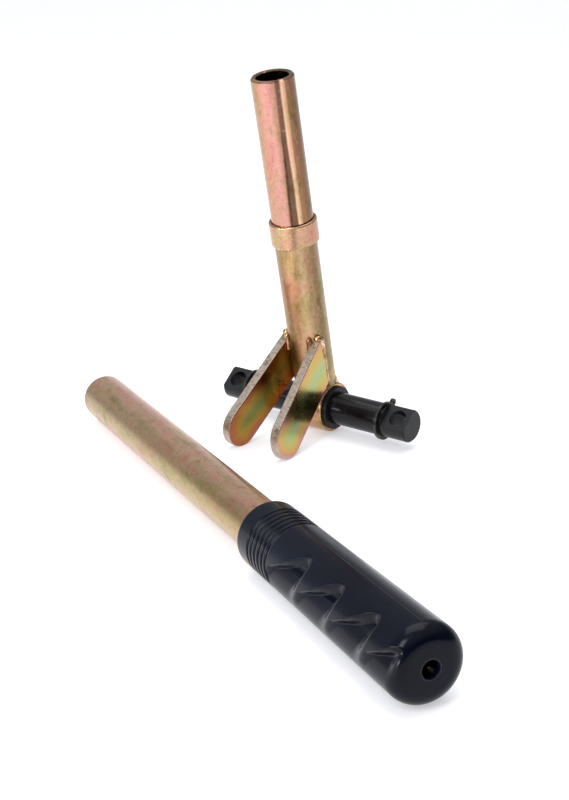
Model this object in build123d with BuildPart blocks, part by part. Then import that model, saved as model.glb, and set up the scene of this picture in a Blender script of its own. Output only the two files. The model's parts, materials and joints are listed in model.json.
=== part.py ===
from build123d import *
from math import asin, atan2, cos, degrees, hypot, radians, sin, sqrt, tan
import os

# Pivoting lever with a push-on handle.
#
# The lever is a spigot tube welded upright on a cross hub, with a stop collar
# part way up and two flat lugs splayed out to the front. A cross shaft turns
# in two flanged bushes pressed in the hub. The handle is a tube with a moulded
# grip: it pushes over the spigot down to the collar, and lies loose in front.
#
# Frame: the origin is the hub's centre, on the cross shaft's axis. +X runs
# along the shaft, -Y points to the lugs, +Z is up. The lever stands on its hub
# and on the tips of both lugs, so the spigot leans to the front.
# All sizes are in millimetres.

# Spigot tube, collar and hub
spigot_od = 20.0            # turned down above the collar, for the handle to slide on
tube_od = 20.4              # below the collar's top
tube_wall = 2.55
spigot_top = 169.0          # mouth, measured up the spigot from the hub's axis
mouth_outer_chamfer = 0.7
mouth_inner_chamfer = 0.5
collar_od = 22.9
collar_height = 11.0
collar_bottom = 88.8        # measured up the spigot from the hub's axis
collar_gap = 0.15           # slip fit of the collar on the tube
collar_edge_radius = 0.8
collar_weld_leg = 1.3
collar_weld_arc = 215.0     # degrees of the collar that are welded
collar_weld_middle = 190.0  # direction of the middle of that weld
hub_od = 24.8
hub_length = 20.0
hub_edge_radius = 0.6
hub_weld_leg = 1.6
hub_weld_toe = 7.7          # the bead's outer edge, above the hub's axis

# Lugs
lug_width = 20.8
lug_thickness = 4.5
lug_drop = 28.6             # degrees the lugs slope below square to the spigot
lug_tip_forward = 43.6      # tip centre in front of the spigot's axis
lug_height = 31.55          # where the lug's centre line crosses the spigot's axis
lug_bite = 2.9              # how far the lug's inner face sits inside the tube's side
lug_splay = 5.7             # degrees that each lug turns outwards
lug_edge_radius = 0.45
weld_radius = 1.7
weld_blob_radius = 1.75
weld_stand_out = 0.9        # the bead's middle, off the tube's surface
tack_radius = 1.3
tack_length = 7.0

# Cross shaft, bushes and circlips
shaft_od = 16.0
shaft_length = 111.6
shaft_chamfer = 0.7
running_clearance = 0.05    # radial, shaft in bush
bush_wall = 1.5
bush_length = 8.0           # inside the hub
flange_od = 21.6
flange_thickness = 1.9
flange_edge_chamfer = 0.4
circlip_position = 40.5     # middle of the ring, from the hub's centre
circlip_thickness = 1.3
circlip_wall = 1.9          # middle value, the ring is thicker opposite its gap
circlip_offset = 0.45
circlip_gap = 34.0          # degrees
circlip_turn = 63.0         # degrees that the gap is turned back from the top
circlip_eye_radius = 1.9
circlip_eye_inset = 1.3     # the eye's middle, back from the gap's side
circlip_eye_hole = 0.75
groove_depth = 0.5
groove_side_gap = 0.1
flat_start = 42.4           # from the hub's centre
flat_distance = 4.9         # flat to the shaft's axis
flat_tilt = 41.0            # degrees that the flat faces forward of straight up
cross_hole_diameter = 8.6
cross_hole_position = 49.4

# Handle tube and grip
handle_od = 22.2
handle_bore = 20.2
handle_length = 321.7       # mouth to the end of the grip
handle_mouth_chamfer = 0.4
grip_length = 124.7
grip_mouth_od = 28.8
grip_end_od = 30.3
grip_end_wall = 6.0
grip_end_radius = 6.5
grip_mouth_radius = 0.8
grip_hole_diameter = 6.8
rib_band = 10.2             # middle of the first groove, from the grip's mouth
rib_pitch = 3.25
rib_count = 6
rib_groove_width = 1.3
rib_groove_depth = 1.1
scallop_count = 4
scallop_pitch = 25.7
scallop_first = 43.2        # middle of the first scallop, from the grip's mouth
scallop_depth = 2.6
scallop_land = 2.0
scallop_slant = 35.0        # degrees
scallop_direction = 78.0    # degrees round from the top, to the front left

# Where the handle lies: its mouth's place on the floor and its direction
handle_mouth_x = -93.4
handle_mouth_y = -56.0
handle_heading = -26.45     # degrees from +X

# Worked out from the sizes above
tube_r = tube_od / 2
spigot_r = spigot_od / 2
collar_r = collar_od / 2
hub_r = hub_od / 2
shaft_r = shaft_od / 2
bush_r = shaft_r + running_clearance + bush_wall
splay = radians(lug_splay)
drop = radians(lug_drop)

# A lug's tip centre, as x along the shaft, forward and up the spigot
lug_reach = lug_tip_forward / (cos(drop) * cos(splay))
lug_root_x = tube_r - lug_bite + lug_thickness / 2
lug_seat = sqrt(tube_r**2 - (tube_r - lug_bite / 2) ** 2)
lug_tip_x = lug_root_x + (lug_tip_forward - lug_seat) / cos(drop) * tan(splay)
lug_tip_up = lug_height - lug_tip_forward * tan(drop)

# The lean that puts the hub and both lug tips on the floor
rim_r = lug_width / 2 - lug_edge_radius
rim_t = lug_thickness / 2 - lug_edge_radius
normal_forward = -sin(splay) * cos(drop)
normal_up = sin(splay) * sin(drop)
lean = 0.0
lean_steps = 8
for step in range(lean_steps):
    slope = abs(normal_up * cos(lean) - normal_forward * sin(lean))
    tip_reach = rim_r * sqrt(1 - slope**2) + rim_t * slope + lug_edge_radius
    lean = atan2(lug_tip_up, lug_tip_forward)
    lean += asin((hub_r - tip_reach) / hypot(lug_tip_up, lug_tip_forward))

# Directions and planes of the lever
shaft_dir = Vector(1, 0, 0)
up_dir = Vector(0, -sin(lean), cos(lean))
front_dir = Vector(0, -cos(lean), -sin(lean))
lever_base = Plane(origin=(0, 0, 0), x_dir=shaft_dir, z_dir=up_dir)
shaft_plane = Plane(origin=(0, 0, 0), x_dir=(0, 1, 0), z_dir=shaft_dir)


def lever_point(x, forward, up):
    """A point x along the shaft, forward of the spigot's axis and up it."""
    return shaft_dir * x + front_dir * forward + up_dir * up


def rims(part, radius, direction):
    """The part's circular edges of one radius, sorted along a direction."""
    circles = part.edges().filter_by(GeomType.CIRCLE)
    circles = circles.filter_by(lambda edge: abs(edge.radius - radius) < 0.01)
    return circles.sort_by(Axis((0, 0, 0), direction))


def save(part, name):
    """Label a finished piece and write its STEP file."""
    part.label = name
    export_step(part, f"parts/{name}.step")


os.makedirs("parts", exist_ok=True)
sides = {"left": -1, "right": 1}

# Spigot tube: coped over the hub, turned down above the collar, with a chamfered mouth
with BuildPart() as spigot_tube:
    with BuildSketch(lever_base):
        Circle(tube_r)
        Circle(tube_r - tube_wall, mode=Mode.SUBTRACT)
    extrude(amount=spigot_top)
    with BuildSketch(lever_base.offset(collar_bottom + collar_height)):
        Circle(tube_od)
        Circle(spigot_r, mode=Mode.SUBTRACT)
    extrude(amount=spigot_top, mode=Mode.SUBTRACT)
    chamfer(rims(spigot_tube, spigot_r, up_dir)[-1], mouth_outer_chamfer)
    chamfer(rims(spigot_tube, tube_r - tube_wall, up_dir)[-1], mouth_inner_chamfer)
    with BuildSketch(shaft_plane.offset(-hub_length)):
        Circle(hub_r)
    extrude(amount=2 * hub_length, mode=Mode.SUBTRACT)
save(spigot_tube.part, "spigot_tube")

# Stop collar: a ring slipped on the spigot, its top edge rounded
with BuildPart() as stop_collar:
    with BuildSketch(lever_base.offset(collar_bottom)):
        Circle(collar_r)
        Circle(tube_r + collar_gap, mode=Mode.SUBTRACT)
    extrude(amount=collar_height)
    fillet(rims(stop_collar, collar_r, up_dir)[-1], collar_edge_radius)
save(stop_collar.part, "stop_collar")

# Collar weld: a fillet under the collar, round part of it
weld_start = radians(collar_weld_middle - collar_weld_arc / 2)
weld_dir = lever_base.x_dir * cos(weld_start) + lever_base.y_dir * sin(weld_start)
with BuildPart() as collar_weld:
    with BuildSketch(Plane(origin=(0, 0, 0), x_dir=weld_dir, z_dir=weld_dir.cross(up_dir))):
        with BuildLine():
            Polyline(
                (tube_r, collar_bottom),
                (tube_r + collar_weld_leg, collar_bottom),
                (tube_r, collar_bottom - collar_weld_leg),
                close=True,
            )
        make_face()
    revolve(axis=Axis((0, 0, 0), up_dir), revolution_arc=collar_weld_arc)
save(collar_weld.part, "collar_weld")

# Hub: a cross tube bored for the two bushes
with BuildPart() as hub_boss:
    with BuildSketch(shaft_plane.offset(-hub_length / 2)):
        Circle(hub_r)
        Circle(bush_r, mode=Mode.SUBTRACT)
    extrude(amount=hub_length)
    fillet(rims(hub_boss, hub_r, shaft_dir), hub_edge_radius)
save(hub_boss.part, "hub_boss")

# Hub weld: a fillet round the foot of the spigot, saddled on the hub
with BuildPart() as hub_weld:
    with BuildSketch(Plane(origin=(0, 0, 0), x_dir=shaft_dir, z_dir=-lever_base.y_dir)):
        with BuildLine():
            Polyline(
                (tube_r, 0),
                (tube_r + hub_weld_leg, 0),
                (tube_r + hub_weld_leg, hub_weld_toe),
                (tube_r, hub_r + hub_weld_leg),
                close=True,
            )
        make_face()
    revolve(axis=Axis((0, 0, 0), up_dir))
    with BuildSketch(shaft_plane.offset(-hub_length)):
        Circle(hub_r)
    extrude(amount=2 * hub_length, mode=Mode.SUBTRACT)
    for end in (-1, 1):
        with BuildSketch(Plane(origin=(end * hub_length / 2, 0, 0), x_dir=(0, 1, 0), z_dir=(end, 0, 0))):
            Circle(2 * hub_od)
        extrude(amount=hub_length, mode=Mode.SUBTRACT)
save(hub_weld.part, "hub_weld")

# Lugs: flat strips with full-round tips, set against the sides of the tube
for name, side in sides.items():
    along = shaft_dir * (side * sin(splay))
    along += front_dir * (cos(splay) * cos(drop)) - up_dir * (cos(splay) * sin(drop))
    across = front_dir * sin(drop) + up_dir * cos(drop)
    tip = lever_point(side * lug_tip_x, lug_tip_forward, lug_tip_up)
    lug_plane = Plane(origin=tip, x_dir=along, z_dir=along.cross(across))
    with BuildPart() as lug:
        with BuildSketch(lug_plane.offset(-lug_thickness / 2)):
            Circle(lug_width / 2)
            with Locations((-lug_reach / 2, 0)):
                Rectangle(lug_reach, lug_width)
        extrude(amount=lug_thickness)
        fillet(lug.edges(), lug_edge_radius)
        with BuildSketch(lever_base):
            Circle(tube_r)
        extrude(amount=spigot_top, mode=Mode.SUBTRACT)
        split(bisect_by=Plane(origin=lever_point(0, lug_seat, 0), z_dir=front_dir), keep=Keep.TOP)
    save(lug.part, f"lug_{name}")

    # Lug weld: a bead behind the lug's outer face, a blob on top and a tack inside
    lug_top = lug_height + lug_width / 2 / cos(drop) - lug_seat * tan(drop)
    lug_foot = lug_height - lug_width / 2 / cos(drop) - lug_seat * tan(drop)
    bead_x = side * sqrt((tube_r + weld_stand_out) ** 2 - (lug_seat - weld_stand_out) ** 2)
    tack_x = side * (tube_r - lug_bite - tack_radius / 2)
    tack_forward = sqrt(tube_r**2 - tack_x**2) + tack_radius / 2
    bead = Plane(origin=lever_point(bead_x, lug_seat - weld_stand_out, lug_foot), z_dir=up_dir)
    blob = Plane(origin=lever_point(side * lug_root_x, lug_seat, lug_top), z_dir=up_dir)
    tack = Plane(origin=lever_point(tack_x, tack_forward, lug_top), z_dir=-up_dir)
    with BuildPart() as lug_weld:
        with BuildSketch(bead):
            Circle(weld_radius)
        extrude(amount=lug_top - lug_foot)
        with Locations(blob):
            Sphere(weld_blob_radius)
        with BuildSketch(tack):
            Circle(tack_radius)
        extrude(amount=tack_length)
        with Locations(tack):
            Sphere(tack_radius)
        with BuildSketch(lever_base):
            Circle(tube_r)
        extrude(amount=spigot_top, mode=Mode.SUBTRACT)
        add(lug.part, mode=Mode.SUBTRACT)
    save(lug_weld.part, f"lug_weld_{name}")

# Flanged bushes: pressed in the hub, their flanges against its faces
for name, side in sides.items():
    with BuildPart() as bush:
        with BuildSketch(Plane(origin=(side * hub_length / 2, 0, 0), z_dir=(side, 0, 0))):
            Circle(flange_od / 2)
        extrude(amount=flange_thickness)
        with BuildSketch(Plane(origin=(side * hub_length / 2, 0, 0), z_dir=(-side, 0, 0))):
            Circle(bush_r)
        extrude(amount=bush_length)
        with BuildSketch(shaft_plane.offset(-hub_length)):
            Circle(shaft_r + running_clearance)
        extrude(amount=2 * hub_length, mode=Mode.SUBTRACT)
        chamfer(rims(bush, flange_od / 2, (side, 0, 0))[-1], flange_edge_chamfer)
    save(bush.part, f"bush_{name}")

# Cross shaft: chamfered ends, a circlip groove, a flat and a cross hole each side
flat_dir = Vector(0, -sin(radians(flat_tilt)), cos(radians(flat_tilt)))
groove_r = shaft_r - groove_depth
groove_width = circlip_thickness + 2 * groove_side_gap
with BuildPart() as cross_shaft:
    with BuildSketch(shaft_plane.offset(-shaft_length / 2)):
        Circle(shaft_r)
    extrude(amount=shaft_length)
    chamfer(cross_shaft.edges().filter_by(GeomType.CIRCLE), shaft_chamfer)
    for side in sides.values():
        with BuildSketch(shaft_plane.offset(side * circlip_position - groove_width / 2)):
            Circle(shaft_od)
            Circle(groove_r, mode=Mode.SUBTRACT)
        extrude(amount=groove_width, mode=Mode.SUBTRACT)
        flat = Plane(origin=flat_dir * flat_distance, x_dir=shaft_dir, z_dir=flat_dir)
        with BuildSketch(flat):
            with Locations((side * (flat_start + shaft_length / 2), 0)):
                Rectangle(shaft_length, 2 * shaft_od)
        extrude(amount=shaft_od, mode=Mode.SUBTRACT)
        with BuildSketch(Plane(origin=flat_dir * -shaft_od, x_dir=shaft_dir, z_dir=flat_dir)):
            with Locations((side * cross_hole_position, 0)):
                Circle(cross_hole_diameter / 2)
        extrude(amount=2 * shaft_od, mode=Mode.SUBTRACT)
save(cross_shaft.part, "cross_shaft")

# Circlips: tapered spring rings with an eye each side of the gap
gap_dir = Vector(0, sin(radians(circlip_turn)), cos(radians(circlip_turn)))
eye_angle = circlip_gap / 2 + degrees(circlip_eye_inset / shaft_r)
for name, side in sides.items():
    ring_at = shaft_dir * (side * circlip_position - circlip_thickness / 2)
    with BuildPart() as circlip:
        with BuildSketch(Plane(origin=ring_at, x_dir=gap_dir, z_dir=shaft_dir)):
            with Locations((-circlip_offset, 0)):
                Circle(groove_r + circlip_wall)
            with BuildLine():
                edge = PolarLine((0, 0), shaft_od, circlip_gap / 2)
                far = PolarLine((0, 0), shaft_od, -circlip_gap / 2)
                Line(edge @ 1, far @ 1)
            make_face(mode=Mode.SUBTRACT)
            with PolarLocations(groove_r + circlip_eye_radius, 2, -eye_angle, 4 * eye_angle):
                Circle(circlip_eye_radius)
                Circle(circlip_eye_hole, mode=Mode.SUBTRACT)
            Circle(groove_r, mode=Mode.SUBTRACT)
        extrude(amount=circlip_thickness)
    save(circlip.part, f"circlip_{name}")


def rise_to(along, edge_r, rounding):
    """The angle that rests the handle on its tube's rim and on a rounded edge."""
    below = edge_r - rounding - handle_r
    return asin(rounding / hypot(along, below)) + atan2(below, along)


# The handle rests on its tube's rim and on whichever end of the grip is lower
handle_r = handle_od / 2
tube_end = handle_length - grip_end_wall
grip_start = handle_length - grip_length
mouth_along = grip_start + grip_mouth_radius - handle_mouth_chamfer
end_along = handle_length - grip_end_radius - handle_mouth_chamfer
rise = max(
    rise_to(mouth_along, grip_mouth_od / 2, grip_mouth_radius),
    rise_to(end_along, grip_end_od / 2, grip_end_radius),
)
mouth_height = handle_r * cos(rise) - handle_mouth_chamfer * sin(rise)
heading = radians(handle_heading)
handle_dir = Vector(cos(heading) * cos(rise), sin(heading) * cos(rise), sin(rise))
handle_side_dir = Vector(sin(heading), -cos(heading), 0)
handle_mouth = Vector(handle_mouth_x, handle_mouth_y, mouth_height - hub_r)
handle_side = Plane(origin=handle_mouth, x_dir=handle_dir, z_dir=handle_side_dir)
handle_axis = Axis(handle_mouth, handle_dir)

# Handle tube: both ends chamfered outside
with BuildPart() as handle_tube:
    with BuildSketch(handle_side):
        with BuildLine():
            Polyline(
                (0, handle_bore / 2),
                (0, handle_r - handle_mouth_chamfer),
                (handle_mouth_chamfer, handle_r),
                (tube_end, handle_r),
                (tube_end, handle_bore / 2),
                close=True,
            )
        make_face()
    revolve(axis=handle_axis)
save(handle_tube.part, "handle_tube")


def grip_radius(along):
    """The grip's outer radius at a distance from its mouth."""
    share = along / (grip_length - grip_end_radius)
    return (grip_mouth_od + (grip_end_od - grip_mouth_od) * share) / 2


# Grip: a tapered sleeve with a round end, ribs at its mouth and finger scallops
with BuildPart() as grip:
    with BuildSketch(handle_side):
        with BuildLine():
            start = (grip_start, handle_r)
            mouth_in = (grip_start, grip_mouth_od / 2 - grip_mouth_radius)
            mouth_out = (grip_start + grip_mouth_radius, grip_radius(grip_mouth_radius))
            end_out = (handle_length - grip_end_radius, grip_end_od / 2)
            end_in = (handle_length, grip_end_od / 2 - grip_end_radius)
            Line(start, mouth_in)
            RadiusArc(mouth_in, mouth_out, grip_mouth_radius)
            Line(mouth_out, end_out)
            RadiusArc(end_out, end_in, grip_end_radius)
            Polyline(
                end_in,
                (handle_length, grip_hole_diameter / 2),
                (tube_end, grip_hole_diameter / 2),
                (tube_end, handle_r),
                start,
            )
        make_face()
        for rib in range(rib_count):
            along = rib_band + rib * rib_pitch
            with Locations((grip_start + along, grip_radius(along))):
                Rectangle(rib_groove_width, 2 * rib_groove_depth, mode=Mode.SUBTRACT)
    revolve(axis=handle_axis)
    half_width = (scallop_pitch * cos(radians(scallop_slant)) - scallop_land) / 2
    cutter_r = (half_width**2 + scallop_depth**2) / (2 * scallop_depth)
    round_angle = radians(scallop_direction)
    slant = radians(scallop_slant)
    out_dir = handle_side.y_dir * cos(round_angle) + handle_side_dir * sin(round_angle)
    round_dir = handle_side_dir * cos(round_angle) - handle_side.y_dir * sin(round_angle)
    cut_dir = round_dir * cos(slant) - handle_dir * sin(slant)
    for scallop in range(scallop_count):
        along = scallop_first + scallop * scallop_pitch
        middle_out = grip_radius(min(along, grip_length - grip_end_radius)) - scallop_depth
        middle = handle_mouth + handle_dir * (grip_start + along)
        middle += out_dir * (middle_out + cutter_r) - cut_dir * grip_end_od
        with BuildSketch(Plane(origin=middle, z_dir=cut_dir)):
            Circle(cutter_r)
        extrude(amount=2 * grip_end_od, mode=Mode.SUBTRACT)
save(grip.part, "grip")
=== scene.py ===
import json
import math

import bpy
import numpy as np
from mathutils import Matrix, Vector, noise


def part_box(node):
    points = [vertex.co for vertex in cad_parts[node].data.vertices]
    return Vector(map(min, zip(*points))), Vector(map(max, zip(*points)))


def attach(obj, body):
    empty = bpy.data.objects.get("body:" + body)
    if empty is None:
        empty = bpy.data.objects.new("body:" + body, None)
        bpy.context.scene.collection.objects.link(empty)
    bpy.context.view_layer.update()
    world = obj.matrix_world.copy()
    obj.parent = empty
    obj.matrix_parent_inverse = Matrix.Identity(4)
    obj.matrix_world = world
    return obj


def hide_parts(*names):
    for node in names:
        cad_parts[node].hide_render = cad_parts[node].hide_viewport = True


# Looks for the pivoting lever and its loose handle, in metres, in the CAD's frame:
# origin in the hub on the cross shaft's axis, +X along the shaft, +Z up.

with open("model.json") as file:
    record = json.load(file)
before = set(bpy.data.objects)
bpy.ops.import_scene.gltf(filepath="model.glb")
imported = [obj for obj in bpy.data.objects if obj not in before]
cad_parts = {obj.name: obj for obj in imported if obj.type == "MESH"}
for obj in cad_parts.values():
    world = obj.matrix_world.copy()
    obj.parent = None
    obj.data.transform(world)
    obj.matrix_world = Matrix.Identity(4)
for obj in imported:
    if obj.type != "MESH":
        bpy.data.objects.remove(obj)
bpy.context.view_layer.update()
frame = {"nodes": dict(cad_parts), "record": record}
nodes = frame["nodes"]
mounts = {m["name"]: m for m in frame["record"]["mounts"]}
MM = 0.001


# ---------------------------------------------------------------- placement

def corners(node):
    """A CAD node's vertices, in the row frame."""
    co = np.zeros(len(nodes[node].data.vertices) * 3)
    nodes[node].data.vertices.foreach_get("co", co)
    return co.reshape(-1, 3)


def span(node, direction, origin=Vector((0, 0, 0))):
    """A CAD node's lowest and highest places along a direction, from an origin."""
    places = (corners(node) - np.array(origin)) @ np.array(direction)
    return float(places.min()), float(places.max())


SHAFT_DIR = Vector((1, 0, 0))
UP_DIR = Vector(mounts["spigot"]["axis"]).normalized()
FRONT_DIR = SHAFT_DIR.cross(UP_DIR)
HANDLE_DIR = -Vector(mounts["handle_bore"]["axis"]).normalized()
HANDLE_SIDE = Vector((HANDLE_DIR.y, -HANDLE_DIR.x, 0)).normalized()
HANDLE_UP = HANDLE_SIDE.cross(HANDLE_DIR).normalized()
LEVER_VIEW = Vector((0.615, -0.789, 0))   # the side of the spigot that faces front right
LUG_DROP = math.radians(28.6)             # the lugs' slope below square to the spigot
HOLE_DIR = Vector(mounts["shaft_hole_right"]["axis"]).normalized()
BORE_AT = Vector(mounts["handle_bore"]["pos_m"])
mouth_s, tube_end_s = span("handle_tube", HANDLE_DIR, BORE_AT)
grip_s, end_s = span("grip", HANDLE_DIR, BORE_AT)
HANDLE_MOUTH = BORE_AT + HANDLE_DIR * mouth_s
GRIP_MOUTH = BORE_AT + HANDLE_DIR * grip_s
GRIP_LENGTH = end_s - grip_s
FLOOR_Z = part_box("hub_boss")[0].z
COLLAR_LOW, COLLAR_HIGH = span("stop_collar", UP_DIR)
AWAY = Vector((-0.6148, 0.7887, 0))       # level, from the camera to the object


# ---------------------------------------------------------------- materials

class Shader:
    """A material whose nodes are added by short calls."""

    def __init__(self, name, **sockets):
        self.mat = bpy.data.materials.new(name)
        self.mat.use_nodes = True
        self.tree = self.mat.node_tree
        self.tree.nodes.clear()
        out = self.tree.nodes.new("ShaderNodeOutputMaterial")
        self.bsdf = self.tree.nodes.new("ShaderNodeBsdfPrincipled")
        self.tree.links.new(self.bsdf.outputs[0], out.inputs[0])
        coords = self.tree.nodes.new("ShaderNodeTexCoord")
        self.place = coords.outputs["Object"]
        self.normal = coords.outputs["Normal"]
        for key, value in sockets.items():
            self.bsdf.inputs[key.replace("_", " ")].default_value = value

    def put(self, socket, value):
        """Links a node's output to a socket, or sets a constant on it."""
        if isinstance(value, bpy.types.NodeSocket):
            self.tree.links.new(value, socket)
        elif hasattr(value, "__len__") and len(value) == 3 and len(socket.default_value) == 4:
            socket.default_value = (*value, 1)
        else:
            socket.default_value = value

    def math(self, kind, *values):
        node = self.tree.nodes.new("ShaderNodeMath")
        node.operation = kind
        for socket, value in zip(node.inputs, values):
            self.put(socket, value)
        return node.outputs[0]

    def vector(self, kind, *values):
        node = self.tree.nodes.new("ShaderNodeVectorMath")
        node.operation = kind
        for socket, value in zip(node.inputs, values):
            self.put(socket, value)
        return node.outputs["Value" if kind == "DOT_PRODUCT" else "Vector"]

    def along(self, direction, origin=(0, 0, 0)):
        """How far a point is along a direction from an origin, in metres."""
        return self.vector("DOT_PRODUCT", self.vector("SUBTRACT", self.place, origin), direction)

    def around(self, direction, zero, origin=(0, 0, 0)):
        """The angle round an axis from a zero direction, in turns from -0.5 to 0.5."""
        other = Vector(direction).cross(Vector(zero)).normalized()
        level = other.cross(Vector(direction)).normalized()
        turn = self.math("ARCTAN2", self.along(other, origin), self.along(level, origin))
        return self.math("DIVIDE", turn, 2 * math.pi)

    def stretched(self, direction, share):
        """The point's place, with one direction made slower so that noise runs along it."""
        node = self.tree.nodes.new("ShaderNodeVectorMath")
        node.operation = "SCALE"
        node.inputs[0].default_value = direction
        self.put(node.inputs["Scale"], self.math("MULTIPLY", self.along(direction), share - 1))
        return self.vector("ADD", self.place, node.outputs["Vector"])

    def noise(self, place, scale, detail=2.0, rough=0.5, warp=0.0):
        node = self.tree.nodes.new("ShaderNodeTexNoise")
        self.put(node.inputs["Vector"], place)
        node.inputs["Scale"].default_value = scale
        node.inputs["Detail"].default_value = detail
        node.inputs["Roughness"].default_value = rough
        node.inputs["Distortion"].default_value = warp
        return node.outputs["Fac"]

    def fit(self, value, low, high, to_low=0.0, to_high=1.0, smooth=True):
        node = self.tree.nodes.new("ShaderNodeMapRange")
        node.interpolation_type = "SMOOTHSTEP" if smooth else "LINEAR"
        for key, number in (("From Min", low), ("From Max", high), ("To Min", to_low), ("To Max", to_high)):
            node.inputs[key].default_value = number
        self.put(node.inputs["Value"], value)
        return node.outputs["Result"]

    def ramp(self, value, stops):
        node = self.tree.nodes.new("ShaderNodeValToRGB")
        node.color_ramp.interpolation = "EASE"
        points = node.color_ramp.elements
        points.remove(points[1])
        points[0].position = stops[0][0]
        points[0].color = (*stops[0][1], 1)
        for place, colour in stops[1:]:
            points.new(place).color = (*colour, 1)
        self.put(node.inputs[0], value)
        return node.outputs[0]

    def mix(self, share, first, second, kind="MIX"):
        node = self.tree.nodes.new("ShaderNodeMix")
        node.data_type = "RGBA"
        node.blend_type = kind
        self.put(node.inputs["Factor"], share)
        self.put(node.inputs[6], first)
        self.put(node.inputs[7], second)
        return node.outputs[2]

    def bump(self, height, depth, strength=1.0, under=None):
        node = self.tree.nodes.new("ShaderNodeBump")
        node.inputs["Strength"].default_value = strength
        node.inputs["Distance"].default_value = depth
        self.put(node.inputs["Height"], height)
        if under is not None:
            self.put(node.inputs["Normal"], under)
        return node.outputs[0]

    def finish(self, colour, rough, normal=None):
        self.put(self.bsdf.inputs["Base Color"], colour)
        self.put(self.bsdf.inputs["Roughness"], rough)
        if normal is not None:
            self.put(self.bsdf.inputs["Normal"], normal)
        return self.mat


GOLD = (0.50, 0.34, 0.15)
TAN = (0.52, 0.36, 0.22)
PINK = (0.56, 0.30, 0.22)
COPPER = (0.36, 0.17, 0.10)
OLIVE = (0.22, 0.19, 0.07)
GREEN = (0.32, 0.33, 0.14)
BROWN = (0.17, 0.10, 0.045)
PALE = (0.66, 0.58, 0.48)


def mottled(s, colour, direction, strength):
    """Zinc plate's mottling: green, bronze and pink clouds a few millimetres across."""
    cloud = s.noise(s.stretched(direction, 0.45), 150.0, 5.0, 0.68, 0.4)
    tint = s.ramp(cloud, [
        (0.30, (0.50, 0.52, 0.34)), (0.42, (0.80, 0.86, 0.62)), (0.50, (1.0, 0.97, 0.92)),
        (0.58, (1.0, 0.80, 0.82)), (0.70, (0.74, 0.56, 0.50)),
    ])
    fine = s.noise(s.place, 620.0, 4.0, 0.75)
    sparkle = s.ramp(fine, [
        (0.30, (0.62, 0.60, 0.56)), (0.50, (1.0, 1.0, 1.0)), (0.66, (1.0, 0.98, 0.96)),
    ])
    colour = s.mix(strength, colour, tint, "MULTIPLY")
    colour = s.mix(strength * 0.8, colour, sparkle, "MULTIPLY")
    return s.mix(s.fit(fine, 0.60, 0.72, 0.0, 0.6 * strength), colour, PALE)


def zinc(name, direction, stops, rough, patch=26.0, stretch=0.35, drawn=0.03):
    """Yellow zinc plate: coloured patches, drawn-tube streaks, fine grain and speckle."""
    s = Shader(name, Metallic=1.0)
    patches = s.noise(s.stretched(direction, stretch), patch, 3.0, 0.55, 0.6)
    streak = s.noise(s.stretched(direction, 0.02), 900.0, 2.0, 0.6)
    grain = s.noise(s.place, 1500.0, 3.0, 0.6)
    specks = s.noise(s.place, 420.0, 4.0, 0.7)
    colour = s.ramp(patches, stops)
    colour = s.mix(s.fit(specks, 0.64, 0.80, 0.0, 0.5), colour, PALE)
    colour = s.mix(s.fit(specks, 0.40, 0.28, 0.0, 0.45), colour, BROWN)
    if callable(rough):
        rough = rough(s)
    spread = s.math("MULTIPLY", s.math("SUBTRACT", grain, 0.5), 0.22)
    rough = s.math("ADD", rough, spread)
    rough = s.math("ADD", rough, s.math("MULTIPLY", s.math("SUBTRACT", patches, 0.5), 0.16))
    normal = s.bump(streak, drawn * MM, 0.5)
    normal = s.bump(grain, 0.008 * MM, 0.5, normal)
    normal = s.bump(s.noise(s.place, 160.0, 2.0), 0.03 * MM, 0.4, normal)
    return s, colour, rough, normal


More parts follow.
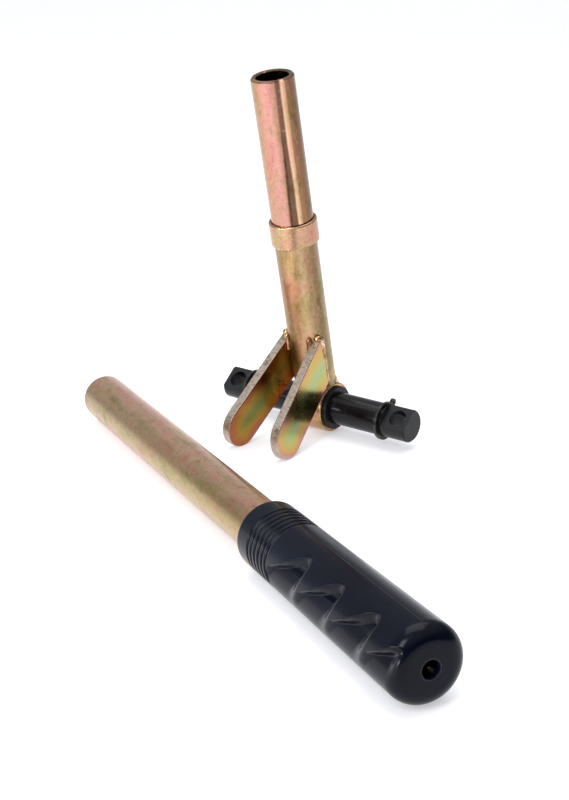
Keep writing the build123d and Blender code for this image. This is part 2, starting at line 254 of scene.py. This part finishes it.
def tube_material():
    """The spigot's plate: pink and copper above the collar, tan below, with painted reflection bands round
    the tube: a painted dark reflection streak and highlight line above the collar, a painted highlight and
    darker sides below.
    """
    stops = [(0.30, COPPER), (0.42, PINK), (0.50, TAN), (0.58, PINK), (0.68, GOLD)]

    def rough(s):
        return s.fit(s.along(UP_DIR), COLLAR_LOW, COLLAR_HIGH, 0.34, 0.17)

    s, colour, rough_out, normal = zinc("zinc_tube", UP_DIR, stops, rough, 24.0, 0.3)
    height = s.along(UP_DIR)
    waver = s.noise(s.stretched(UP_DIR, 0.12), 70.0, 3.0, 0.6)
    # Painted reflection: colour bands laid round the spigot from its side that faces the camera
    # (LEVER_VIEW), standing in for the bright and dark reflections of the surroundings.
    turn = s.around(UP_DIR, LEVER_VIEW)
    turn = s.math("ADD", turn, s.math("MULTIPLY", s.math("SUBTRACT", waver, 0.5), 0.05))
    # Above the collar: a painted lighter highlight band, a painted dark reflection streak with a painted
    # bright highlight line beside it, and a painted darker far side.
    above = s.ramp(s.fit(turn, -0.25, 0.25, smooth=False), [
        (0.00, (0.20, 0.12, 0.06)), (0.10, (0.47, 0.29, 0.17)), (0.27, (0.58, 0.31, 0.23)),
        (0.40, (0.55, 0.29, 0.25)), (0.50, (0.42, 0.22, 0.16)), (0.535, (0.12, 0.06, 0.035)),
        (0.575, (0.10, 0.05, 0.03)), (0.61, (0.80, 0.52, 0.38)), (0.64, (0.66, 0.40, 0.24)),
        (0.68, (0.30, 0.15, 0.085)), (0.80, (0.22, 0.11, 0.06)), (1.00, (0.15, 0.11, 0.05)),
    ])
    # Below the collar: a painted broad highlight facing the camera, painted darker bands beside it and a
    # painted lighter olive-grey far edge.
    below = s.ramp(s.fit(turn, -0.25, 0.25, smooth=False), [
        (0.00, (0.36, 0.28, 0.14)), (0.18, (0.30, 0.20, 0.10)), (0.36, (0.58, 0.38, 0.22)),
        (0.52, (0.62, 0.42, 0.26)), (0.64, (0.30, 0.22, 0.11)), (0.76, (0.17, 0.13, 0.055)),
        (0.88, (0.30, 0.27, 0.15)), (1.00, (0.46, 0.42, 0.29)),
    ])
    upper = mottled(s, s.mix(0.12, above, colour), UP_DIR, 0.7)
    lower = mottled(s, s.mix(0.25, below, colour), UP_DIR, 0.9)
    both = s.mix(s.fit(height, COLLAR_LOW, COLLAR_HIGH), lower, upper)
    ragged = s.math("ADD", height, s.math("MULTIPLY", s.noise(s.place, 90.0), 0.02))
    foot_colour = s.ramp(s.noise(s.place, 60.0, 2.0), [
        (0.35, PINK), (0.5, OLIVE), (0.62, GOLD), (0.7, COPPER),
    ])
    both = s.mix(s.fit(ragged, 0.052, 0.024, 0.0, 0.8), both, foot_colour)
    return s.finish(both, rough_out, normal)


def handle_material():
    """The handle's plate, with painted reflection bands round the tube: a painted lighter pink and tan top,
    a painted dark olive streak along it, and gold-green below.
    """
    stops = [(0.28, OLIVE), (0.40, GOLD), (0.49, TAN), (0.57, PINK), (0.66, TAN), (0.76, GREEN)]
    s, colour, rough, normal = zinc("zinc_handle", HANDLE_DIR, stops, 0.33, 22.0, 0.22, 0.05)
    waver = s.noise(s.stretched(HANDLE_DIR, 0.15), 60.0, 3.0, 0.6)
    # Painted reflection: colour bands laid round the handle from its top, standing in for the reflections
    # of the surroundings on the tube.
    turn = s.around(HANDLE_DIR, HANDLE_UP, HANDLE_MOUTH)
    turn = s.math("ADD", turn, s.math("MULTIPLY", s.math("SUBTRACT", waver, 0.5), 0.09))
    bands = s.ramp(s.fit(turn, -0.15, 0.40, smooth=False), [
        (0.00, (0.58, 0.44, 0.33)), (0.16, (0.76, 0.50, 0.40)), (0.36, (0.72, 0.45, 0.34)),
        (0.50, (0.48, 0.32, 0.20)), (0.60, (0.27, 0.19, 0.09)), (0.70, (0.36, 0.29, 0.14)),
        (0.84, (0.48, 0.38, 0.23)), (1.00, (0.46, 0.32, 0.23)),
    ])
    colour = mottled(s, s.mix(0.22, bands, colour), HANDLE_DIR, 0.85)
    return s.finish(colour, rough, normal)


def collar_material():
    """The collar's plate: tan and pink, with faint marks of turning."""
    stops = [(0.30, OLIVE), (0.42, GOLD), (0.50, TAN), (0.60, PINK), (0.70, TAN)]
    s, colour, rough, normal = zinc("zinc_collar", UP_DIR, stops, 0.28, 60.0, 1.0)
    colour = mottled(s, colour, UP_DIR, 0.8)
    turned = s.noise(s.stretched(UP_DIR, 40.0), 90.0, 1.0)
    normal = s.bump(turned, 0.01 * MM, 0.5, normal)
    return s.finish(colour, rough, normal)


def hub_material():
    """The hub's plate: copper and gold."""
    stops = [(0.30, COPPER), (0.42, GOLD), (0.52, PINK), (0.62, GOLD), (0.72, OLIVE)]
    s, colour, rough, normal = zinc("zinc_hub", SHAFT_DIR, stops, 0.27, 70.0, 0.8)
    colour = mottled(s, colour, SHAFT_DIR, 0.7)
    return s.finish(colour, rough, normal)


def weld_material():
    """The welds' plate: brown, copper, gold, pink and pale patches."""
    stops = [(0.32, BROWN), (0.42, COPPER), (0.50, GOLD), (0.58, PINK), (0.66, PALE)]
    s, colour, rough, normal = zinc("weld_bead", UP_DIR, stops, 0.17, 190.0, 1.0)
    return s.finish(colour, rough, normal)


def lug_material(node):
    """Bands of colour that follow the lug's rim on its faces, and duller grey sawn edges."""
    s = Shader("zinc_" + node, Metallic=1.0)
    mesh = nodes[node].data
    total = Vector()
    for polygon in mesh.polygons:
        n = polygon.normal
        total += n * (polygon.area if n.x > 0.7 else 0.0)
    face_dir = total.normalized()
    along = (FRONT_DIR * math.cos(LUG_DROP) - UP_DIR * math.sin(LUG_DROP)).normalized()
    along = (along - face_dir * along.dot(face_dir)).normalized()
    across = face_dir.cross(along)
    low, high = span(node, across)
    half = (high - low) / 2
    tip = along * (span(node, along)[1] - half) + across * (low + high) / 2
    beyond = s.math("MAXIMUM", s.along(along, tip), 0.0)
    beside = s.along(across, tip)
    squares = s.math("ADD", s.math("MULTIPLY", beyond, beyond), s.math("MULTIPLY", beside, beside))
    reach = s.math("SQRT", squares)
    rim = s.math("DIVIDE", reach, half)
    wander = s.math("MULTIPLY", s.math("SUBTRACT", s.noise(s.place, 75.0, 2.0, 0.5, 0.5), 0.5), 0.9)
    band = s.math("ADD", s.math("MULTIPLY", rim, 0.75), wander)
    if node == "lug_left":
        bands = s.ramp(band, [
            (0.00, (0.17, 0.18, 0.045)), (0.20, (0.26, 0.19, 0.035)), (0.40, (0.33, 0.18, 0.03)),
            (0.58, (0.34, 0.13, 0.035)), (0.74, (0.32, 0.10, 0.06)), (0.90, (0.34, 0.16, 0.18)),
        ])
    else:
        bands = s.ramp(band, [
            (0.00, (0.36, 0.42, 0.20)), (0.08, (0.41, 0.42, 0.15)), (0.28, (0.46, 0.39, 0.12)),
            (0.52, (0.54, 0.34, 0.10)), (0.72, (0.52, 0.25, 0.17)), (0.90, (0.54, 0.31, 0.36)),
        ])
    facing = s.math("ABSOLUTE", s.vector("DOT_PRODUCT", s.normal, face_dir))
    is_face = s.fit(facing, 0.55, 0.92)
    saw = s.noise(s.stretched(face_dir, 0.4), 1500.0, 4.0, 0.7)
    edge_colour = s.ramp(saw, [
        (0.32, (0.16, 0.12, 0.07)), (0.44, (0.38, 0.31, 0.24)), (0.56, (0.50, 0.42, 0.37)),
        (0.68, (0.44, 0.37, 0.22)),
    ])
    torn = s.fit(s.noise(s.stretched(across, 0.5), 130.0, 2.0), 0.60, 0.68, 0.0, 0.75)
    edge_colour = s.mix(torn, edge_colour, (0.14, 0.12, 0.06))
    edge_rough = s.fit(saw, 0.3, 0.7, 0.30, 0.52)
    colour = s.mix(is_face, edge_colour, bands)
    rough = s.mix(is_face, edge_rough, s.fit(s.noise(s.place, 120.0), 0.3, 0.7, 0.15, 0.24))
    normal = s.bump(s.noise(s.place, 60.0, 1.0), 0.03 * MM, 0.3)
    normal = s.bump(s.math("MULTIPLY", saw, s.math("SUBTRACT", 1.0, is_face)), 0.08 * MM, 0.6, normal)
    return s.finish(colour, rough, normal)


def shaft_material():
    """Gloss black with a duller cut end and flats."""
    s = Shader("black_shaft", Specular_IOR_Level=0.24)
    end = s.fit(s.math("ABSOLUTE", s.vector("DOT_PRODUCT", s.normal, SHAFT_DIR)), 0.7, 0.95)
    flat = s.fit(s.vector("DOT_PRODUCT", s.normal, HOLE_DIR), 0.985, 0.997)
    dull = s.math("MAXIMUM", end, flat)
    cloud = s.noise(s.place, 120.0, 3.0)
    grain = s.noise(s.place, 1800.0, 2.0)
    colour = s.ramp(cloud, [(0.3, (0.002, 0.002, 0.003)), (0.7, (0.006, 0.005, 0.007))])
    dull_colour = s.ramp(grain, [(0.3, (0.007, 0.008, 0.009)), (0.7, (0.018, 0.019, 0.020))])
    colour = s.mix(dull, colour, dull_colour)
    spread = s.math("MULTIPLY", s.math("SUBTRACT", grain, 0.5), 0.2)
    rough = s.math("ADD", s.fit(dull, 0.0, 1.0, 0.20, 0.46, False), spread)
    normal = s.bump(s.noise(s.stretched(SHAFT_DIR, 0.05), 700.0), 0.01 * MM, 0.4)
    normal = s.bump(grain, 0.01 * MM, 0.35, normal)
    return s.finish(colour, rough, normal)


def bush_material():
    """Dull black polymer."""
    s = Shader("black_bush", Specular_IOR_Level=0.25)
    grain = s.noise(s.place, 1300.0, 2.0)
    colour = s.ramp(s.noise(s.place, 200.0), [(0.3, (0.003, 0.003, 0.004)), (0.7, (0.008, 0.008, 0.009))])
    rough = s.fit(grain, 0.3, 0.7, 0.30, 0.46)
    return s.finish(colour, rough, s.bump(grain, 0.012 * MM, 0.4))


def circlip_material():
    """Dark phosphated spring steel."""
    s = Shader("spring_steel", Metallic=0.75)
    grain = s.noise(s.place, 1500.0, 3.0, 0.6)
    colour = s.ramp(s.noise(s.place, 300.0), [
        (0.3, (0.02, 0.02, 0.022)), (0.55, (0.05, 0.045, 0.042)), (0.75, (0.09, 0.07, 0.06)),
    ])
    return s.finish(colour, s.fit(grain, 0.3, 0.7, 0.22, 0.42), s.bump(grain, 0.01 * MM, 0.5))


def grip_material():
    """Moulded black vinyl: soft gloss with a fine skin and faint flow marks."""
    s = Shader("black_grip", Specular_IOR_Level=0.13)
    skin = s.noise(s.place, 1100.0, 3.0, 0.6)
    cloud = s.noise(s.stretched(HANDLE_DIR, 0.4), 55.0, 3.0)
    colour = s.ramp(cloud, [
        (0.3, (0.0012, 0.002, 0.0055)), (0.55, (0.0018, 0.003, 0.0085)), (0.75, (0.0025, 0.005, 0.012)),
    ])
    spread = s.math("MULTIPLY", s.math("SUBTRACT", skin, 0.5), 0.14)
    rough = s.math("ADD", s.fit(cloud, 0.3, 0.7, 0.17, 0.24), spread)
    normal = s.bump(skin, 0.012 * MM, 0.35)
    normal = s.bump(s.noise(s.place, 140.0, 2.0), 0.05 * MM, 0.3, normal)
    return s.finish(colour, rough, normal)


def paint(obj, material):
    obj.data.materials.clear()
    obj.data.materials.append(material)


# ---------------------------------------------------------------- the grip

GRIP_BORE_R = 11.1 * MM
GRIP_MOUTH_R = 14.4 * MM
GRIP_END_R = 15.15 * MM
MOUTH_ROUND = 0.8 * MM
END_ROUND = 6.5 * MM
HOLE_R = 3.4 * MM
HOLE_ROUND = 0.35 * MM
PITCH = 25.7            # between finger scallops, in mm as the places below are
SCALLOPS = 4
SCALLOP_DEPTH = 3.8
WALL_LENGTH = 4.4       # along the grip, from a scallop's edge to its floor
BACK_LENGTH = 6.5       # along the grip, from a scallop's floor up to its ridge
RIB_FIRST = 10.2
RIB_PITCH = 3.25
RIBS = 6
RIB_DEPTH = 0.95
RIB_HALF = 0.95
SEAM_AT = 2.5           # degrees from the top
SEAM_START = 28.0
SEAM_HEIGHT = 0.14
SEAM_HALF = 1.1         # degrees
ROW_PITCH = 0.3 * MM    # between the mesh's rows along the grip
FLAT_RINGS = 12         # rings of mesh on the flat end

# The first scallop's start and ridge along the grip, by the angle round from the top
RAMP_ANGLES = (27, 35, 46, 59, 70, 78, 84, 100, 124, 150)
RAMP_STARTS = (53.0, 49.0, 45.0, 40.6, 36.2, 32.0, 29.0, 25.3, 21.0, 17.0)
RIDGE_ANGLES = (27, 36, 45, 58, 71, 85, 100, 124, 150)
RIDGES = (53.2, 55.0, 56.2, 56.0, 55.1, 53.7, 51.2, 46.9, 42.5)


def smooth(t):
    t = np.clip(t, 0, 1)
    return t * t * (3 - 2 * t)


def scallop_cut(s, angle):
    """Depth in mm of the finger scallops at a place along and an angle round, in degrees."""
    start = np.interp(angle, RAMP_ANGLES, RAMP_STARTS)
    ridge = np.interp(angle, RIDGE_ANGLES, RIDGES)
    deep = smooth((angle - 26) / 16) * smooth((122 - angle) / 58)
    cut = np.zeros_like(s)
    for k in range(SCALLOPS):
        wall = smooth((s - k * PITCH - start) / WALL_LENGTH)
        back = smooth((ridge + k * PITCH - s) / BACK_LENGTH)
        cut = np.maximum(cut, wall * back * deep)
    return cut * SCALLOP_DEPTH


def grip_relief(s, angle):
    """How far the grip's skin stands in (+) from its plain tapered form, in mm."""
    cut = scallop_cut(s, angle)
    for k in range(RIBS):
        off = np.abs(s - RIB_FIRST - k * RIB_PITCH) / RIB_HALF
        cut = cut + RIB_DEPTH * np.where(off < 1, np.cos(off * math.pi / 2) ** 1.2, 0)
    for seam in (SEAM_AT, SEAM_AT + 180):
        off = np.abs((angle - seam + 180) % 360 - 180) / SEAM_HALF
        ends = smooth((s - SEAM_START) / 1.5)
        cut = cut - SEAM_HEIGHT * smooth(1 - off) * ends
    return cut


def grip_profile():
    """Points (along, radius) of the grip's section, and which of them carry the relief."""
    points = []

    def arc(centre, radius, start, stop, steps, carries):
        for i in range(steps + 1):
            a = math.radians(start + (stop - start) * i / steps)
            points.append((centre[0] + radius * math.cos(a), centre[1] + radius * math.sin(a), carries))

    tube_end = tube_end_s - grip_s
    points.append((0.0, GRIP_BORE_R, 0))
    points.append((0.0, (GRIP_BORE_R + GRIP_MOUTH_R) / 2, 0))
    arc((MOUTH_ROUND, GRIP_MOUTH_R - MOUTH_ROUND), MOUTH_ROUND, 180, 90, 8, 0)
    rows = int((GRIP_LENGTH - END_ROUND - 2 * MOUTH_ROUND) / ROW_PITCH)
    for i in range(1, rows):
        share = i / rows
        s = MOUTH_ROUND + (GRIP_LENGTH - END_ROUND - MOUTH_ROUND) * share
        points.append((s, GRIP_MOUTH_R + (GRIP_END_R - GRIP_MOUTH_R) * share, 1))
    arc((GRIP_LENGTH - END_ROUND, GRIP_END_R - END_ROUND), END_ROUND, 90, 0, 30, 2)
    flat_r = GRIP_END_R - END_ROUND
    for i in range(1, FLAT_RINGS):
        r = flat_r - (flat_r - HOLE_R - HOLE_ROUND) * i / (FLAT_RINGS - 1)
        points.append((GRIP_LENGTH, r, 0))
    arc((GRIP_LENGTH - HOLE_ROUND, HOLE_R + HOLE_ROUND), HOLE_ROUND, 360, 270, 6, 0)
    points.append((tube_end, HOLE_R, 0))
    points.append((tube_end, GRIP_BORE_R, 0))
    return points


def make_grip():
    """The grip's skin, turned from its profile with the relief cut in it."""
    profile = grip_profile()
    angles = set(np.round(np.linspace(0, 360, 361)[:-1], 3))
    for seam in (SEAM_AT, SEAM_AT + 180):
        angles |= set(np.round(seam + np.linspace(-1.5, 1.5, 13), 3))
    angles = np.array(sorted(angles))
    s = np.array([p[0] for p in profile])[:, None] + np.zeros(len(angles))
    r = np.array([p[1] for p in profile])[:, None] + np.zeros(len(angles))
    carries = np.array([p[2] for p in profile])[:, None] + np.zeros(len(angles))
    angle = np.zeros_like(s) + angles
    relief = grip_relief(s / MM, angle) * MM
    end_share = np.clip((GRIP_LENGTH - s) / END_ROUND, 0, 1)
    r = r - np.where(carries == 1, relief, 0) - np.where(carries == 2, relief * smooth(end_share), 0)
    rad = np.radians(angle)
    ups = np.cos(rad)[..., None] * np.array(HANDLE_UP) + np.sin(rad)[..., None] * np.array(HANDLE_SIDE)
    co = np.array(GRIP_MOUTH) + s[..., None] * np.array(HANDLE_DIR) + r[..., None] * ups
    rows, columns = s.shape
    faces = []
    for i in range(rows):
        below = ((i + 1) % rows) * columns
        for j in range(columns):
            k = (j + 1) % columns
            faces.append((i * columns + j, below + j, below + k, i * columns + k))
    mesh = bpy.data.meshes.new("grip_skin")
    mesh.from_pydata(co.reshape(-1, 3).tolist(), [], faces)
    mesh.validate()
    mesh.polygons.foreach_set("use_smooth", [True] * len(mesh.polygons))
    obj = bpy.data.objects.new("grip_skin", mesh)
    bpy.context.scene.collection.objects.link(obj)
    return obj


# ---------------------------------------------------------------- the welds

WELD_VOXEL = 0.28 * MM
WELD_SMOOTHING = 6
WELD_SWELL = 0.16 * MM
RIPPLE_PITCH = 1.25 * MM
RIPPLE_HEIGHT = 0.06 * MM
WANDER_SCALE = 300.0
LUMP_HEIGHT = 0.12 * MM
LUMP_SCALE = 700.0


def make_weld(node, direction):
    """A weld bead: the CAD bead rounded over, swollen into the metal and rippled."""
    rough = bpy.data.objects.new(node + "_form", nodes[node].data.copy())
    bpy.context.scene.collection.objects.link(rough)
    remesh = rough.modifiers.new("remesh", "REMESH")
    remesh.mode = "VOXEL"
    remesh.voxel_size = WELD_VOXEL
    relax = rough.modifiers.new("relax", "SMOOTH")
    relax.iterations = WELD_SMOOTHING
    relax.factor = 0.6
    graph = bpy.context.evaluated_depsgraph_get()
    mesh = bpy.data.meshes.new_from_object(rough.evaluated_get(graph))
    bpy.data.objects.remove(rough)
    for vertex in mesh.vertices:
        place = vertex.co.copy()
        wave = place.dot(direction) / RIPPLE_PITCH + noise.noise(place * WANDER_SCALE)
        lift = WELD_SWELL + RIPPLE_HEIGHT * (0.5 + 0.5 * math.sin(wave * 2 * math.pi))
        lift += LUMP_HEIGHT * noise.noise(place * LUMP_SCALE)
        vertex.co = place + vertex.normal * lift
    mesh.polygons.foreach_set("use_smooth", [True] * len(mesh.polygons))
    mesh.name = node + "_bead"
    obj = bpy.data.objects.new(node + "_bead", mesh)
    bpy.context.scene.collection.objects.link(obj)
    paint(obj, WELD)
    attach(obj, "lever")
    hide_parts(node)


# ---------------------------------------------------------------- pieces

WELD = weld_material()
CIRCLIP = circlip_material()
BUSH = bush_material()
finishes = {
    "spigot_tube": tube_material(), "stop_collar": collar_material(), "hub_boss": hub_material(),
    "lug_left": lug_material("lug_left"), "lug_right": lug_material("lug_right"),
    "bush_left": BUSH, "bush_right": BUSH, "cross_shaft": shaft_material(),
    "circlip_left": CIRCLIP, "circlip_right": CIRCLIP, "handle_tube": handle_material(),
    "collar_weld": WELD, "hub_weld": WELD, "lug_weld_left": WELD, "lug_weld_right": WELD,
}
GRIP = grip_material()
finishes["grip"] = GRIP
for name, material in finishes.items():
    paint(nodes[name], material)

for name, way in (
    ("lug_weld_left", UP_DIR), ("lug_weld_right", UP_DIR),
    ("hub_weld", SHAFT_DIR), ("collar_weld", SHAFT_DIR),
):
    make_weld(name, way)

grip = make_grip()
paint(grip, GRIP)
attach(grip, "handle")
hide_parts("grip")


# ---------------------------------------------------------------- studio

def make_floor():
    """A pale sweep: flat under the object, curving up far behind it."""
    steps = 40
    reach, rise, width = 3.2, 1.2, 18.0
    near, flat_share = -9.0, 0.6
    side = Vector((AWAY.y, -AWAY.x, 0))
    verts = []
    for i in range(steps + 1):
        t = i / steps
        if t < flat_share:
            out, up = near + (reach - near) * t / flat_share, 0.0
        else:
            a = (t - flat_share) / (1 - flat_share) * math.pi / 2
            out, up = reach + rise * math.sin(a), rise * (1 - math.cos(a))
        for end in (-1, 1):
            verts.append(AWAY * out + side * (end * width / 2) + Vector((0, 0, FLOOR_Z + up)))
    faces = [(2 * i, 2 * i + 1, 2 * i + 3, 2 * i + 2) for i in range(steps)]
    mesh = bpy.data.meshes.new("floor")
    mesh.from_pydata([tuple(v) for v in verts], [], faces)
    mesh.polygons.foreach_set("use_smooth", [True] * len(mesh.polygons))
    obj = bpy.data.objects.new("floor", mesh)
    bpy.context.scene.collection.objects.link(obj)
    s = Shader("pale_floor", Specular_IOR_Level=0.3, Emission_Strength=0.41)
    s.bsdf.inputs["Emission Color"].default_value = (0.97, 0.97, 1.0, 1)
    tone = s.noise(s.place, 2.0, 2.0)
    colour = s.ramp(tone, [(0.3, (0.80, 0.80, 0.84)), (0.7, (0.83, 0.83, 0.86))])
    paint(obj, s.finish(colour, s.fit(tone, 0.3, 0.7, 0.34, 0.40)))


def area_light(name, place, target, size, power, size_y=None):
    data = bpy.data.lights.new(name, "AREA")
    data.shape = "RECTANGLE"
    data.size = size
    data.size_y = size_y or size
    data.energy = power
    obj = bpy.data.objects.new(name, data)
    obj.location = place
    obj.rotation_euler = (Vector(target) - Vector(place)).to_track_quat("-Z", "Y").to_euler()
    bpy.context.scene.collection.objects.link(obj)


def make_world():
    """A light tent: bright above and behind the object, dimmer low down in front."""
    world = bpy.data.worlds.new("tent")
    world.use_nodes = True
    bpy.context.scene.world = world
    tree = world.node_tree
    tree.nodes.clear()
    coords = tree.nodes.new("ShaderNodeTexCoord")

    def facing(direction, low, high, to_low, to_high):
        dot = tree.nodes.new("ShaderNodeVectorMath")
        dot.operation = "DOT_PRODUCT"
        dot.inputs[1].default_value = direction
        tree.links.new(coords.outputs["Generated"], dot.inputs[0])
        scale = tree.nodes.new("ShaderNodeMapRange")
        scale.interpolation_type = "SMOOTHSTEP"
        for key, number in (("From Min", low), ("From Max", high), ("To Min", to_low), ("To Max", to_high)):
            scale.inputs[key].default_value = number
        tree.links.new(dot.outputs["Value"], scale.inputs["Value"])
        return scale.outputs["Result"]

    def larger(a, b):
        node = tree.nodes.new("ShaderNodeMath")
        node.operation = "MAXIMUM"
        tree.links.new(a, node.inputs[0])
        tree.links.new(b, node.inputs[1])
        return node.outputs[0]

    top = facing((0, 0, 1), 0.30, 0.80, 0.06, 0.75)
    back = facing(AWAY, 0.20, 0.90, 0.06, 0.50)
    left = facing((-0.86, -0.20, 0.45), 0.55, 0.90, 0.06, 0.62)
    glow = tree.nodes.new("ShaderNodeBackground")
    glow.inputs["Color"].default_value = (0.95, 0.97, 1.0, 1)
    tree.links.new(larger(larger(top, back), left), glow.inputs["Strength"])
    out = tree.nodes.new("ShaderNodeOutputWorld")
    tree.links.new(glow.outputs[0], out.inputs[0])


make_floor()
make_world()
area_light("top_softbox", (-0.1, 0.1, 1.3), (0.03, -0.08, 0), 1.1, 10.0)
area_light("low_softbox", (-0.38, -1.30, 0.16), (0.05, -0.15, 0.02), 0.85, 9.0, size_y=0.20)
area_light("front_softbox", (0.20, -1.25, 0.92), (0.08, -0.12, 0), 0.45, 10.0, size_y=0.80)

camera_data = bpy.data.cameras.new("camera")
camera_data.lens = 68.75
camera_data.sensor_width = 36.0
camera_data.clip_start = 0.01
camera = bpy.data.objects.new("camera", camera_data)
camera.location = (0.4293, -0.5785, 0.2512)
camera.rotation_euler = Vector((-0.5809, 0.7452, -0.3275)).to_track_quat("-Z", "Y").to_euler()
bpy.context.scene.collection.objects.link(camera)
bpy.context.scene.camera = camera
bpy.context.scene.view_settings.view_transform = "Standard"

bpy.context.view_layer.update()
